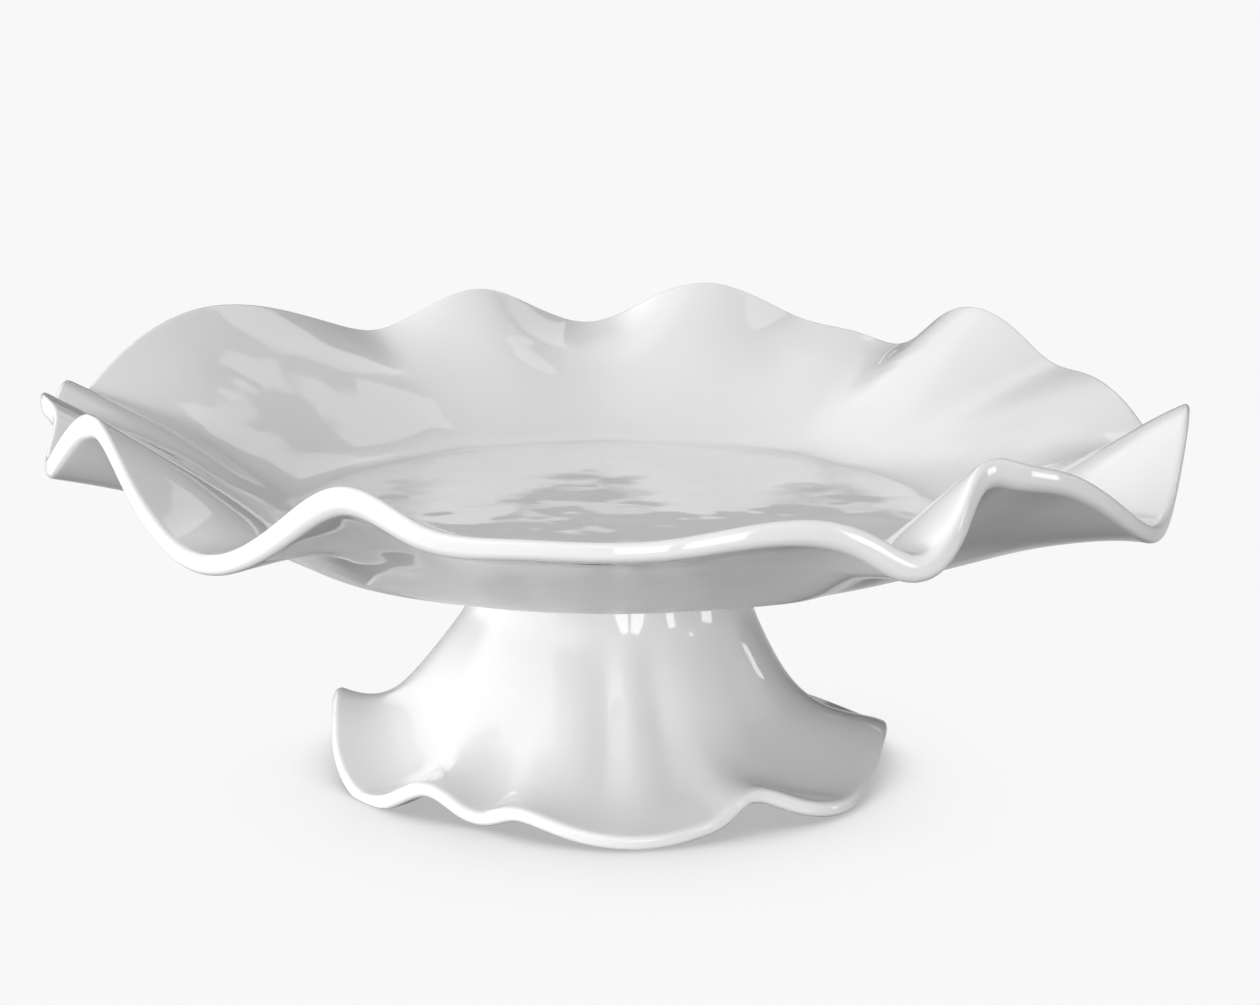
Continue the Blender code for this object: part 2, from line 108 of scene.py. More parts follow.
FOOT_THICKNESS = 0.0050
FOOT_CORNER = 0.0017
FOOT_DIP = 0.0026
FOOT_CREST = 0.0240
NECK_MIDDLE_RADIUS = 0.0436
FOOT_STATIONS = (0.0, 0.15, 0.30, 0.45, 0.60, 0.75, 0.90, 1.0)
DIP_RADII = (0.0436, 0.0440, 0.0465, 0.0502, 0.0560, 0.0660, 0.0810, 0.0930)
DIP_HEIGHTS = (0.0640, 0.0520, 0.0420, 0.0320, 0.0210, 0.0102, 0.0031, 0.0026)
CREST_RADII = (0.0436, 0.0453, 0.0511, 0.0590, 0.0668, 0.0742, 0.0832, 0.0900)
CREST_HEIGHTS = (0.0640, 0.0528, 0.0435, 0.0340, 0.0250, 0.0192, 0.0192, 0.0232)
DIP_END_SLOPES = (0.0, 0.110, -0.085, 0.002)
CREST_END_SLOPES = (0.0, 0.065, -0.078, 0.048)
# Foot knots: azimuth, mid-thickness height, reach from the axis
FOOT_KNOTS = (
    (4, 0.0052, 0.0905), (15, 0.0027, 0.0875), (27, 0.0020, 0.0850), (40, 0.0021, 0.0850),
    (54, 0.0048, 0.0885), (68, 0.0020, 0.0935), (86, 0.0090, 0.090), (104, 0.0020, 0.094),
    (124, 0.0110, 0.091), (142, 0.0021, 0.090), (157, 0.0038, 0.0905), (167, 0.0085, 0.0920),
    (175, 0.0160, 0.0930), (183, 0.0208, 0.0935), (190, 0.0182, 0.0940), (197, 0.0110, 0.0955),
    (208, 0.0020, 0.096), (220, 0.0024, 0.0935), (228, 0.0092, 0.089), (238, 0.0038, 0.087),
    (243, 0.0030, 0.0865), (250, 0.0068, 0.088), (257, 0.0058, 0.0905), (264, 0.0033, 0.093),
    (271, 0.0020, 0.095), (281, 0.0020, 0.0945), (288, 0.0037, 0.093), (292.5, 0.0060, 0.092),
    (296.5, 0.0098, 0.0905), (301, 0.0110, 0.0895), (309, 0.0060, 0.094), (319, 0.0020, 0.0975),
    (331, 0.0042, 0.0952), (340, 0.0080, 0.0935), (350, 0.0104, 0.0925),
)

# Folds of the pedestal's body: azimuth, share of the crest section
FOOT_FOLDS = (
    (2, 0.24), (20, 0.06), (45, 0.04), (70, 0.06), (90, 0.20), (106, 0.06), (126, 0.28),
    (144, 0.10), (160, 0.34), (183, 0.84), (198, 0.50), (214, 0.30), (232, 0.30), (250, 0.36),
    (262, 0.30), (269, 0.05), (276.5, 0.27), (284.5, 0.07), (293, 0.16), (303, 0.24), (318, 0.06),
    (335, 0.17), (351, 0.28),
)
RUFFLE_START = 0.55
RUFFLE_FULL = 0.96
REACH_POWER = 3
# How far the lower part of the foot's wall swells up from its section: azimuth, rise
FOOT_SWELL = (
    (4, 0.0026), (24, 0.0), (80, 0.0), (160, 0.0), (183, 0.0004), (200, 0.0), (300, 0.0),
    (325, 0.0), (340, 0.0020), (352, 0.0038),
)
SWELL_POWER = 6
SWELL_PEAK = 17.66

DECK_TOP = 0.0752
DECK_THICKNESS = 0.0060
DECK_RIM_RADIUS = 0.0475
DECK_HOLE_RADIUS = 0.0115
DECK_RIM_DEPTH = 0.0018
DECK_FLARE_RISE = 0.0055
DECK_FLARE = 0.0004

# ---------------------------------------------------------------- sizes of the looks alone
FLOOR_RINGS = (0.001, 0.02, 0.04, 0.06, 0.075, 0.088, 0.097)    # radii, so the floor shades evenly
UNDERSIDE_START = 0.075      # outermost turned ring under the floor
HOLE_END_RADIUS = 0.0005     # closes the insert's hole
FILLET_SHARE = 0.45          # a fillet takes at most this share of the shorter side
PLATE_FILLET = 0.0006
DECK_FILLET = 0.0020
DECK_FILLET_STEPS = 7
NECK_OVERLAP = 0.0005        # the hollow's side meets the neck just above it
NECK_LAND = 0.0010
BOX_MARGIN = 1e-5            # kept between the skins and the CAD box

GASKET_BORE = 0.0400
GASKET_GROOVE = 0.0008       # half width
GASKET_GROOVE_DEPTH = 0.0004
GASKET_DIMPLE = 0.0003
GASKET_FILLET = 0.0006
CUSHION_BORE = 0.0120
CUSHION_PINCH = 0.0002       # the bore's waist
CUSHION_BULGE = 0.0003       # the squeezed outer edge
CUSHION_FILLET = 0.0005
LOCK_BORE = 0.0033
LOCK_SPRING = 0.00012        # how far each end stands out of line
LOCK_TRAPEZE = 0.0002        # the outer edge is thinner
LOCK_SPLIT = 16              # degrees of the ring left open
LOCK_BEVEL = 0.00015
FLAT_BORE = 0.0034
FLAT_FILLET = 0.0003
THREAD_PITCH = 0.001
THREAD_DEPTH = 0.0004
INSERT_STEPS = 144
INSERT_RINGS = 73
INSERT_BORE = 0.0032
INSERT_RIBS = 18
INSERT_RIB_HEIGHT = 0.0004
INSERT_RIB_SLANT = 360       # degrees of wave per length, mirrored at the groove
INSERT_GROOVE = 0.09         # half width as a share of the length
INSERT_END = 0.04            # plain share at each end
SCREW_STEPS = 72
SCREW_THREAD_RINGS = 170
SCREW_TIP_RADIUS = 0.0008
SCREW_CORE = 0.00245
SCREW_CREST = 0.0029
SCREW_TAPER = 0.0012         # length of the lead-in
HEAD_TOP = 0.0632            # where head and shank meet
SHANK_PLAIN = 0.0014         # unthreaded length under the head
SHOULDER_RELIEF = 0.0002     # the plain shank is this much wider than the core
SHOULDER_FILLET = 0.0005
SHOULDER_RISE = 0.0010
HEAD_EDGE = 0.0002
DOME_RINGS = 12
DOME_START = 0.06            # share of the sweep where the dome leaves the head's edge
DOME_SWEEP = math.pi / 2.6
DOME_WIDTH_POWER = 0.8
DOME_HEIGHT_POWER = 0.85
SOCKET_HALF_WIDTH = 0.0020
SOCKET_BEVEL = 0.00015
SOCKET_DEPTH = 0.0020
SOCKET_CONE = 0.0004
SOCKET_POINT = 0.0003

# ---------------------------------------------------------------- how fine the skins are
SKIN_STEPS = 900
WALL_RINGS = 56
EDGE_STEPS = 9
TURNED_STEPS = 96
SMOOTH_ANGLE = math.radians(35)


# ---------------------------------------------------------------- curves
def cubic_through(stations, values, bends):
    """Piecewise cubic through the stations, from the second derivatives at them."""
    stations = np.asarray(stations, float)
    values = np.asarray(values, float)

    def curve(position):
        position = np.asarray(position, float)
        last = len(stations) - 2
        span = np.clip(np.searchsorted(stations, position, side="right") - 1, 0, last)
        width = stations[span + 1] - stations[span]
        ahead = stations[span + 1] - position
        behind = position - stations[span]
        left = (values[span] / width - bends[span] * width / 6) * ahead
        right = (values[span + 1] / width - bends[span + 1] * width / 6) * behind
        curved = bends[span] * ahead**3 + bends[span + 1] * behind**3
        return curved / (6 * width) + left + right

    return curve


def open_curve(stations, values, first_slope, last_slope):
    """Smooth curve through the stations, with its slope given at both ends."""
    widths = np.diff(stations)
    slopes = np.diff(values) / widths
    count = len(stations)
    matrix = np.zeros((count, count))
    target = np.zeros(count)
    matrix[0, :2] = 2 * widths[0], widths[0]
    matrix[-1, -2:] = widths[-1], 2 * widths[-1]
    target[0] = 6 * (slopes[0] - first_slope)
    target[-1] = 6 * (last_slope - slopes[-1])
    for i in range(1, count - 1):
        matrix[i, i - 1 : i + 2] = widths[i - 1], 2 * (widths[i - 1] + widths[i]), widths[i]
        target[i] = 6 * (slopes[i] - slopes[i - 1])
    return cubic_through(stations, values, np.linalg.solve(matrix, target))


def closed_curve(knots, column):
    """Smooth curve through one column of the knots, repeating every 360 degrees of azimuth."""
    azimuths = np.array([knot[0] for knot in knots], float)
    values = np.array([knot[column] for knot in knots], float)
    count = len(knots)
    stations = np.append(azimuths, azimuths[0] + 360)
    widths = np.diff(stations)
    slopes = np.diff(np.append(values, values[0])) / widths
    matrix = np.zeros((count, count))
    target = np.zeros(count)
    for i in range(count):
        matrix[i, i - 1] += widths[i - 1]
        matrix[i, i] += 2 * (widths[i - 1] + widths[i])
        matrix[i, (i + 1) % count] += widths[i]
        target[i] = 6 * (slopes[i] - slopes[i - 1])
    bends = np.linalg.solve(matrix, target)
    curve = cubic_through(stations, np.append(values, values[0]), np.append(bends, bends[0]))
    return lambda azimuth: curve((np.asarray(azimuth, float) - azimuths[0]) % 360 + azimuths[0])


def to_points(azimuth, radius, height):
    angle = np.radians(azimuth)
    return np.stack([radius * np.cos(angle), radius * np.sin(angle), height + 0 * angle], axis=-1)


def edge_section(half_height, corner, arc_steps):
    """Rounded edge from the upper face to the lower one: (inset, share of half thickness)."""
    arc = np.linspace(0, math.pi / 2, arc_steps)
    upper = [(corner * (math.sin(a) - 1), 1 - corner * (1 - math.cos(a)) / half_height) for a in arc]
    lower = [(inset, -share) for inset, share in reversed(upper)]
    return upper + lower


# ---------------------------------------------------------------- middle surfaces
RIM_HEIGHT = closed_curve(RIM_KNOTS, 1)
RIM_REACH = closed_curve(RIM_KNOTS, 2)
RIM_DEPTH = closed_curve(RIM_THICKNESS, 1)
BELLY_RISE = closed_curve(WALL_BELLY, 1)
DIP_SECTION = open_curve(PLATE_STATIONS, DIP_WALL, 0.0, DIP_RIM_SLOPE)
CREST_SECTION = open_curve(PLATE_STATIONS, CREST_WALL, 0.0, CREST_RIM_SLOPE)

FOOT_HEIGHT = closed_curve(FOOT_KNOTS, 1)
FOOT_REACH = closed_curve(FOOT_KNOTS, 2)
SWELL_RISE = closed_curve(FOOT_SWELL, 1)
FOLD_SHARE = closed_curve(FOOT_FOLDS, 1)
DIP_RADIUS = open_curve(FOOT_STATIONS, DIP_RADII, *DIP_END_SLOPES[:2])
DIP_HEIGHT = open_curve(FOOT_STATIONS, DIP_HEIGHTS, *DIP_END_SLOPES[2:])
CREST_RADIUS = open_curve(FOOT_STATIONS, CREST_RADII, *CREST_END_SLOPES[:2])
CREST_HEIGHT = open_curve(FOOT_STATIONS, CREST_HEIGHTS, *CREST_END_SLOPES[2:])


def plate_middle(station, azimuth):
    """Point on the plate wall's middle surface; station 0 is the floor's edge, 1 the rim."""
    share = (RIM_HEIGHT(azimuth) - DIP_RIM) / (CREST_RIM - DIP_RIM)
    dip = DIP_SECTION(station)
    belly = 16 * station**2 * (1 - station) ** 2
    height = dip + share * (CREST_SECTION(station) - dip) + BELLY_RISE(azimuth) * belly
    radius = FLOOR_RADIUS + (RIM_REACH(azimuth) - FLOOR_RADIUS) * station
    return to_points(azimuth, radius, height)


def foot_middle(station, azimuth):
    """Point on the pedestal wall's middle surface; station 0 is the neck, 1 the foot's edge.

    Broad folds run all the way up to the neck; the edge's own ruffle dies out above it.
    """
    edge_share = (FOOT_HEIGHT(azimuth) - FOOT_DIP) / (FOOT_CREST - FOOT_DIP)
    fold_share = FOLD_SHARE(azimuth)
    ruffle = np.clip((station - RUFFLE_START) / (RUFFLE_FULL - RUFFLE_START), 0, 1)
    ruffle = ruffle**2 * (3 - 2 * ruffle)
    share = fold_share + (edge_share - fold_share) * ruffle
    edge_radius = DIP_RADIUS(1.0) * (1 - edge_share) + CREST_RADIUS(1.0) * edge_share
    radius = DIP_RADIUS(station) * (1 - share) + CREST_RADIUS(station) * share
    radius = radius + (FOOT_REACH(azimuth) - edge_radius) * station**REACH_POWER
    height = DIP_HEIGHT(station) * (1 - share) + CREST_HEIGHT(station) * share
    swell = SWELL_PEAK * station**SWELL_POWER * (1 - station)
    return to_points(azimuth, radius, height + SWELL_RISE(azimuth) * swell)


def surface_frame(surface, station, azimuth):
    """Point, upward unit normal, and metres per unit of station."""
    small_station = 1e-4
    small_azimuth = 1e-2
    point = surface(station, azimuth)
    along = (point - surface(station - small_station, azimuth)) / small_station
    around = surface(station, azimuth + small_azimuth) - surface(station, azimuth - small_azimuth)
    normal = np.cross(around, along)
    normal /= np.linalg.norm(normal, axis=-1, keepdims=True)
    return point, -normal, np.linalg.norm(along, axis=-1)


def plate_ring(station, share, azimuth):
    """Ring of the plate wall: share +1 is its upper face and -1 its lower one.

    The thickness is set off straight up and down, so the rim is cut upright all round.
    """
    point, normal, _ = surface_frame(plate_middle, station, azimuth)
    thickness = FLOOR_THICKNESS + (RIM_DEPTH(azimuth) - FLOOR_THICKNESS) * station**2
    point[:, 2] += share * thickness / 2 / np.abs(normal[:, 2])
    return point


def foot_ring(station, share, azimuth):
    """Ring of the pedestal wall: share +1 is its outer face and -1 its hollow side."""
    point, normal, _ = surface_frame(foot_middle, station, azimuth)
    point = point + normal * share * FOOT_THICKNESS / 2
    point[:, 2] = np.maximum(point[:, 2], 0.0)
    return point


# ---------------------------------------------------------------- meshes
def flat_ring(radius, height, steps):
    return to_points(np.arange(steps) * 360.0 / steps, radius, height)


def rounded_turn(section, rounding, steps=4):
    """The section's points with each corner replaced by a small arc-like fillet."""
    out = [section[0]]
    for before, corner, after in zip(section, section[1:], section[2:]):
        before, corner, after = (np.array(p, float) for p in (before, corner, after))
        back, on = before - corner, after - corner
        shorter = min(np.linalg.norm(back), np.linalg.norm(on))
        reach = min(rounding, FILLET_SHARE * shorter)
        start = corner + back / np.linalg.norm(back) * reach
        end = corner + on / np.linalg.norm(on) * reach
        for t in np.linspace(0, 1, steps):
            out.append(tuple((1 - t) ** 2 * start + 2 * t * (1 - t) * corner + t**2 * end))
    out.append(section[-1])
    return out


def skin(name, rings, close_loop):
    """Closed mesh of quads through rings with equal numbers of points."""
    steps = len(rings[0])
    points = np.concatenate(rings)
    here = np.arange(steps)
    beyond = (here + 1) % steps
    pairs = [(i, i + 1) for i in range(len(rings) - 1)]
    if close_loop:
        pairs.append((len(rings) - 1, 0))
    faces = []
    for a, b in pairs:
        corners = (a * steps + here, a * steps + beyond, b * steps + beyond, b * steps + here)
        faces += np.stack(corners, axis=1).tolist()
    if not close_loop:
        faces.append(list(reversed(range(steps))))
        faces.append([(len(rings) - 1) * steps + i for i in range(steps)])
    data = bpy.data.meshes.new(name)
    data.from_pydata(points.tolist(), [], faces)
    mesh = bmesh.new()
    mesh.from_mesh(data)
    if mesh.calc_volume(signed=True) < 0:
        bmesh.ops.reverse_faces(mesh, faces=mesh.faces[:])
    mesh.to_mesh(data)
    mesh.free()
    data.shade_smooth()
    data.set_sharp_from_angle(angle=SMOOTH_ANGLE)
    piece = bpy.data.objects.new(name, data)
    bpy.context.scene.collection.objects.link(piece)
    return piece


def stand_for(piece, node, material):
    """The piece rides on the one body, stands for its CAD node and takes its slot's finish."""
    piece.data.materials.append(material)
    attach(piece, "root")
    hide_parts(node)
    return piece


def stay_in_box(points):
    """Trims the hair's breadth by which a fine crest may pass the CAD's coarser one."""
    low = np.array(CAD_LOW) + BOX_MARGIN
    high = np.array(CAD_HIGH) - BOX_MARGIN
    return np.clip(points, low, high)


# ---------------------------------------------------------------- the two mouldings
def make_plate():
    azimuth = np.arange(SKIN_STEPS) * 360.0 / SKIN_STEPS
    reach = RIM_REACH(azimuth) - FLOOR_RADIUS
    inner_share = 1 - RIM_CORNER / reach
    wall = np.linspace(0, 1, WALL_RINGS)[:-1]
    floor_bottom = FLOOR_TOP - FLOOR_THICKNESS
    rings = [flat_ring(radius, FLOOR_TOP, SKIN_STEPS) for radius in FLOOR_RINGS]
    rings += [plate_ring(t * inner_share, 1.0, azimuth) for t in wall]
    for inset, share in edge_section(FLOOR_THICKNESS / 2, RIM_CORNER, EDGE_STEPS):
        rings.append(plate_ring(1.0 + inset / reach, share, azimuth))
    rings += [plate_ring(t * inner_share, -1.0, azimuth) for t in reversed(wall)]
    turned = [
        (UNDERSIDE_START, floor_bottom),
        (COLLAR_OUTER, floor_bottom), (COLLAR_OUTER, COLLAR_BOTTOM),
        (COLLAR_INNER, COLLAR_BOTTOM), (COLLAR_INNER, floor_bottom),
        (BOSS_RADIUS, floor_bottom), (BOSS_RADIUS, BOSS_BOTTOM),
        (INSERT_HOLE_RADIUS, BOSS_BOTTOM), (INSERT_HOLE_RADIUS, INSERT_HOLE_TOP),
        (HOLE_END_RADIUS, INSERT_HOLE_TOP),
    ]
    for radius, height in rounded_turn(turned, PLATE_FILLET):
        rings.append(flat_ring(radius, height, SKIN_STEPS))
    rings = [stay_in_box(ring) for ring in rings]
    return skin("plate_skin", rings, close_loop=False)


def make_pedestal():
    azimuth = np.arange(SKIN_STEPS) * 360.0 / SKIN_STEPS
    _, _, pace = surface_frame(foot_middle, np.ones(SKIN_STEPS), azimuth)
    inner_share = 1 - FOOT_CORNER / pace
    wall = np.linspace(0, 1, WALL_RINGS)[:-1]
    outer = NECK_MIDDLE_RADIUS + FOOT_THICKNESS / 2
    inner = NECK_MIDDLE_RADIUS - FOOT_THICKNESS / 2
    deck_bottom = DECK_TOP - DECK_THICKNESS
    neck_top = DIP_HEIGHTS[0]
    deck = [
        (inner, neck_top + NECK_OVERLAP), (inner, deck_bottom), (DECK_HOLE_RADIUS, deck_bottom),
        (DECK_HOLE_RADIUS, DECK_TOP), (DECK_RIM_RADIUS, DECK_TOP),
        (DECK_RIM_RADIUS, DECK_TOP - DECK_RIM_DEPTH),
        (outer + DECK_FLARE, neck_top + DECK_FLARE_RISE), (outer, neck_top + NECK_LAND),
    ]
    rings = []
    for radius, height in rounded_turn(deck, DECK_FILLET, DECK_FILLET_STEPS):
        rings.append(flat_ring(radius, height, SKIN_STEPS))
    rings += [foot_ring(t * inner_share, 1.0, azimuth) for t in wall]
    for inset, share in edge_section(FOOT_THICKNESS / 2, FOOT_CORNER, EDGE_STEPS):
        rings.append(foot_ring(1.0 + inset / pace, share, azimuth))
    rings += [foot_ring(t * inner_share, -1.0, azimuth) for t in reversed(wall)]
    return skin("pedestal_skin", rings, close_loop=True)


# ---------------------------------------------------------------- hidden clamp
def turned_ring(name, section, rounding):
    """A turned ring from its section, whose first points are repeated to round them too."""
    path = rounded_turn(list(section) + [section[0], section[1]], rounding)[1:-1]
    rings = [flat_ring(radius, height, TURNED_STEPS) for radius, height in path]
    return skin(name, rings, close_loop=True)


def make_flat_washer():
    low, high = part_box("flat_washer")
    section = [(FLAT_BORE, low.z), (FLAT_BORE, high.z), (high.x, high.z), (high.x, low.z)]
    return turned_ring("flat_washer_disc", section, FLAT_FILLET)


def make_gasket():
    low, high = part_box("seat_gasket")
    middle = (GASKET_BORE + high.x) / 2
    section = [
        (GASKET_BORE, low.z), (GASKET_BORE, high.z), (middle - GASKET_GROOVE, high.z),
        (middle, high.z - GASKET_GROOVE_DEPTH), (middle + GASKET_GROOVE, high.z),
        (high.x, high.z), (high.x, low.z), (middle, low.z + GASKET_DIMPLE),
    ]
    return turned_ring("seat_gasket_ring", section, GASKET_FILLET)


def make_cushion():
    low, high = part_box("cushion_washer")
    waist = (low.z + high.z) / 2
    edge = high.x - CUSHION_BULGE
    section = [
        (CUSHION_BORE, low.z), (CUSHION_BORE - CUSHION_PINCH, waist), (CUSHION_BORE, high.z),
        (edge, high.z), (high.x, waist), (edge, low.z),
    ]
    return turned_ring("cushion_ring", section, CUSHION_FILLET)


def make_lock_washer():
    """Split spring ring: its ends part by a few degrees and stand a little out of line."""
    low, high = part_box("lock_washer")
    bottom = low.z + LOCK_SPRING
    top = high.z - LOCK_SPRING
    corners = (
        (LOCK_BORE, bottom), (LOCK_BORE, top),
        (high.x, top - LOCK_TRAPEZE), (high.x, bottom + LOCK_TRAPEZE),
    )
    rings = []
    for turn in np.linspace(0, 1, TURNED_STEPS):
        azimuth = LOCK_SPLIT / 2 + turn * (360 - LOCK_SPLIT)
        lift = (turn - 0.5) * 2 * LOCK_SPRING
        rings.append(np.concatenate([to_points(np.array([azimuth]), r, z + lift) for r, z in corners]))
    piece = skin("lock_washer_ring", rings, close_loop=False)
    bevel = piece.modifiers.new("broken_edges", "BEVEL")
    bevel.width = LOCK_BEVEL
    bevel.segments = 2
    return piece


def thread_wave(azimuth, height):
    """0 to 1 and back once per pitch, running round the thread."""
    phase = (azimuth / 360 + height / THREAD_PITCH) % 1
    return np.abs(2 * phase - 1)


def make_insert():
    """Brass insert: two bands of slanted ribs either side of a plain groove, with a threaded bore."""
    low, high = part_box("threaded_insert")
    azimuth = np.arange(INSERT_STEPS) * 360.0 / INSERT_STEPS
    rings = []
    for height in np.linspace(low.z, high.z, INSERT_RINGS):
        share = (height - low.z) / (high.z - low.z)
        from_middle = abs(share - 0.5)
        plain = from_middle < INSERT_GROOVE or from_middle > 0.5 - INSERT_END
        ribs = 0.5 + 0.5 * np.cos(np.radians(INSERT_RIBS * azimuth + INSERT_RIB_SLANT * from_middle))
        radius = high.x - INSERT_RIB_HEIGHT + (0 if plain else INSERT_RIB_HEIGHT) * ribs
        rings.append(to_points(azimuth, radius, height))
    for height in np.linspace(high.z, low.z, INSERT_RINGS):
        rings.append(to_points(azimuth, INSERT_BORE + THREAD_DEPTH * thread_wave(azimuth, height), height))
    return skin("insert_body", rings, close_loop=True)


def make_screw():
    """Button-head screw with a cut thread and a hexagon socket, head down."""
    low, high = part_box("clamp_screw")
    azimuth = np.arange(SCREW_STEPS) * 360.0 / SCREW_STEPS
    rings = [flat_ring(SCREW_TIP_RADIUS, high.z, SCREW_STEPS)]
    for height in np.linspace(high.z, HEAD_TOP + SHANK_PLAIN, SCREW_THREAD_RINGS):
        taper = min(1.0, (high.z - height) / SCREW_TAPER)
        ridge = (SCREW_CREST - SCREW_CORE) * taper * thread_wave(azimuth, height)
        rings.append(to_points(azimuth, SCREW_CORE - THREAD_DEPTH * (1 - taper) + ridge, height))
    shank = SCREW_CORE + SHOULDER_RELIEF
    shoulder = (
        (shank, HEAD_TOP + SHOULDER_RISE), (shank, HEAD_TOP + SHOULDER_RELIEF),
        (SCREW_CORE + SHOULDER_FILLET, HEAD_TOP), (high.x - HEAD_EDGE, HEAD_TOP),
    )
    for radius, height in shoulder:
        rings.append(flat_ring(radius, height, SCREW_STEPS))
    dome = HEAD_TOP - low.z
    for turn in np.linspace(DOME_START, 1.0, DOME_RINGS):
        radius = high.x * math.cos(turn * DOME_SWEEP) ** DOME_WIDTH_POWER
        rings.append(flat_ring(radius, HEAD_TOP - dome * turn**DOME_HEIGHT_POWER, SCREW_STEPS))
    sector = (azimuth + 30) % 60 - 30
    flats = SOCKET_HALF_WIDTH / np.cos(np.radians(sector))
    rings.append(to_points(azimuth, flats + SOCKET_BEVEL, low.z))
    rings.append(to_points(azimuth, flats, low.z + SOCKET_BEVEL))
    rings.append(to_points(azimuth, flats, low.z + SOCKET_DEPTH))
    rings.append(flat_ring(SOCKET_POINT, low.z + SOCKET_DEPTH + SOCKET_CONE, SCREW_STEPS))
    return skin("screw_body", rings, close_loop=False)


# ---------------------------------------------------------------- materials
RIPPLE_TAIL = 0.012          # the ripple is gone this far past its stated end
RIPPLE_FADE = 0.02           # and whole this far before it
PEEL_DEPTH = 0.000003
SILICONE_GRAIN = 0.00002
RUBBER_GRAIN = 0.00004
TOOL_MARK_DEPTH = 0.000006


def new_material(name):
    material = bpy.data.materials.new(name)
    material.use_nodes = True
    tree = material.node_tree
    return material, tree, tree.nodes["Principled BSDF"]


def add_node(tree, kind, **values):
    """A node with its attributes, or its inputs by name, set from the keywords."""
    node = tree.nodes.new(kind)
    for key, value in values.items():
        if hasattr(node, key):
            setattr(node, key, value)
        else:
            node.inputs[key.replace("_", " ").title()].default_value = value
    return node


def noise(tree, coordinates, scale, detail=2.0, roughness=0.5):
    node = add_node(tree, "ShaderNodeTexNoise", scale=scale, detail=detail)
    node.inputs["Roughness"].default_value = roughness
    tree.links.new(coordinates, node.inputs["Vector"])
    return node.outputs["Fac"]


def spread(tree, value, low, high):
    """A 0 to 1 value mapped onto low to high."""
    node = add_node(tree, "ShaderNodeMapRange")
    node.inputs["From Min"].default_value = 0.3
    node.inputs["From Max"].default_value = 0.7
    node.inputs["To Min"].default_value = low
    node.inputs["To Max"].default_value = high
    tree.links.new(value, node.inputs["Value"])
    return node.outputs["Result"]


def blend_colours(tree, value, first, second):
    node = add_node(tree, "ShaderNodeMix", data_type="RGBA")
    node.inputs[6].default_value = (*first, 1)
    node.inputs[7].default_value = (*second, 1)
    tree.links.new(value, node.inputs[0])
    return node.outputs[2]


def add_bump(tree, shader, layers):
    """Stacks bump layers, each (height value, distance in metres), onto the shader's normal."""
    normal = None
    for height, distance in layers:
        node = add_node(tree, "ShaderNodeBump")
        node.inputs["Strength"].default_value = 1.0
        node.inputs["Distance"].default_value = distance
        tree.links.new(height, node.inputs["Height"])
        if normal is not None:
            tree.links.new(normal, node.inputs["Normal"])
        normal = node.outputs["Normal"]
    tree.links.new(normal, shader.inputs["Normal"])


def object_coordinates(tree):
    return add_node(tree, "ShaderNodeTexCoord").outputs["Object"]


def glossy_white(name, ripple, ripple_end):
    """Polished white melamine: slow ripples that fade towards the edge, and a trace of orange peel."""
    material, tree, shader = new_material(name)
    place = object_coordinates(tree)
    clouds = noise(tree, place, scale=22.0, detail=3.0)
    colour = blend_colours(tree, clouds, (0.80, 0.803, 0.80), (0.83, 0.832, 0.828))
    tree.links.new(colour, shader.inputs["Base Color"])
    smears = noise(tree, place, scale=60.0, detail=4.0, roughness=0.6)
    tree.links.new(spread(tree, smears, 0.03, 0.065), shader.inputs["Roughness"])
    shader.inputs["IOR"].default_value = 1.5
    flatten = add_node(tree, "ShaderNodeVectorMath", operation="MULTIPLY")
    tree.links.new(place, flatten.inputs[0])
    flatten.inputs[1].default_value = (1, 1, 0)
    length = add_node(tree, "ShaderNodeVectorMath", operation="LENGTH")
    tree.links.new(flatten.outputs[0], length.inputs[0])
    fade = soft_step(tree, length.outputs["Value"], ripple_end + RIPPLE_TAIL, ripple_end - RIPPLE_FADE)
    waves = noise(tree, place, scale=30.0, detail=2.0, roughness=0.35)
    slow = value_node(tree, "MULTIPLY", waves, fade)
    peel = noise(tree, place, scale=900.0, detail=1.0)
    add_bump(tree, shader, [(slow, ripple), (peel, PEEL_DEPTH)])
    return material


def milky_rubber(name):
    material, tree, shader = new_material(name)
    place = object_coordinates(tree)
    clouds = noise(tree, place, scale=120.0, detail=3.0)
    colour = blend_colours(tree, clouds, (0.62, 0.63, 0.62), (0.74, 0.75, 0.74))
    tree.links.new(colour, shader.inputs["Base Color"])
    tree.links.new(spread(tree, clouds, 0.38, 0.52), shader.inputs["Roughness"])
    shader.inputs["Subsurface Weight"].default_value = 0.2
    shader.inputs["Subsurface Radius"].default_value = (0.002, 0.002, 0.0018)
    add_bump(tree, shader, [(noise(tree, place, scale=2600.0), SILICONE_GRAIN)])
    return material


def black_rubber(name):
    material, tree, shader = new_material(name)
    place = object_coordinates(tree)
    dust = noise(tree, place, scale=300.0, detail=5.0, roughness=0.65)
    colour = blend_colours(tree, dust, (0.018, 0.018, 0.018), (0.055, 0.055, 0.053))
    tree.links.new(colour, shader.inputs["Base Color"])
    tree.links.new(spread(tree, dust, 0.6, 0.85), shader.inputs["Roughness"])
    add_bump(tree, shader, [(noise(tree, place, scale=3500.0, detail=3.0), RUBBER_GRAIN)])
    return material


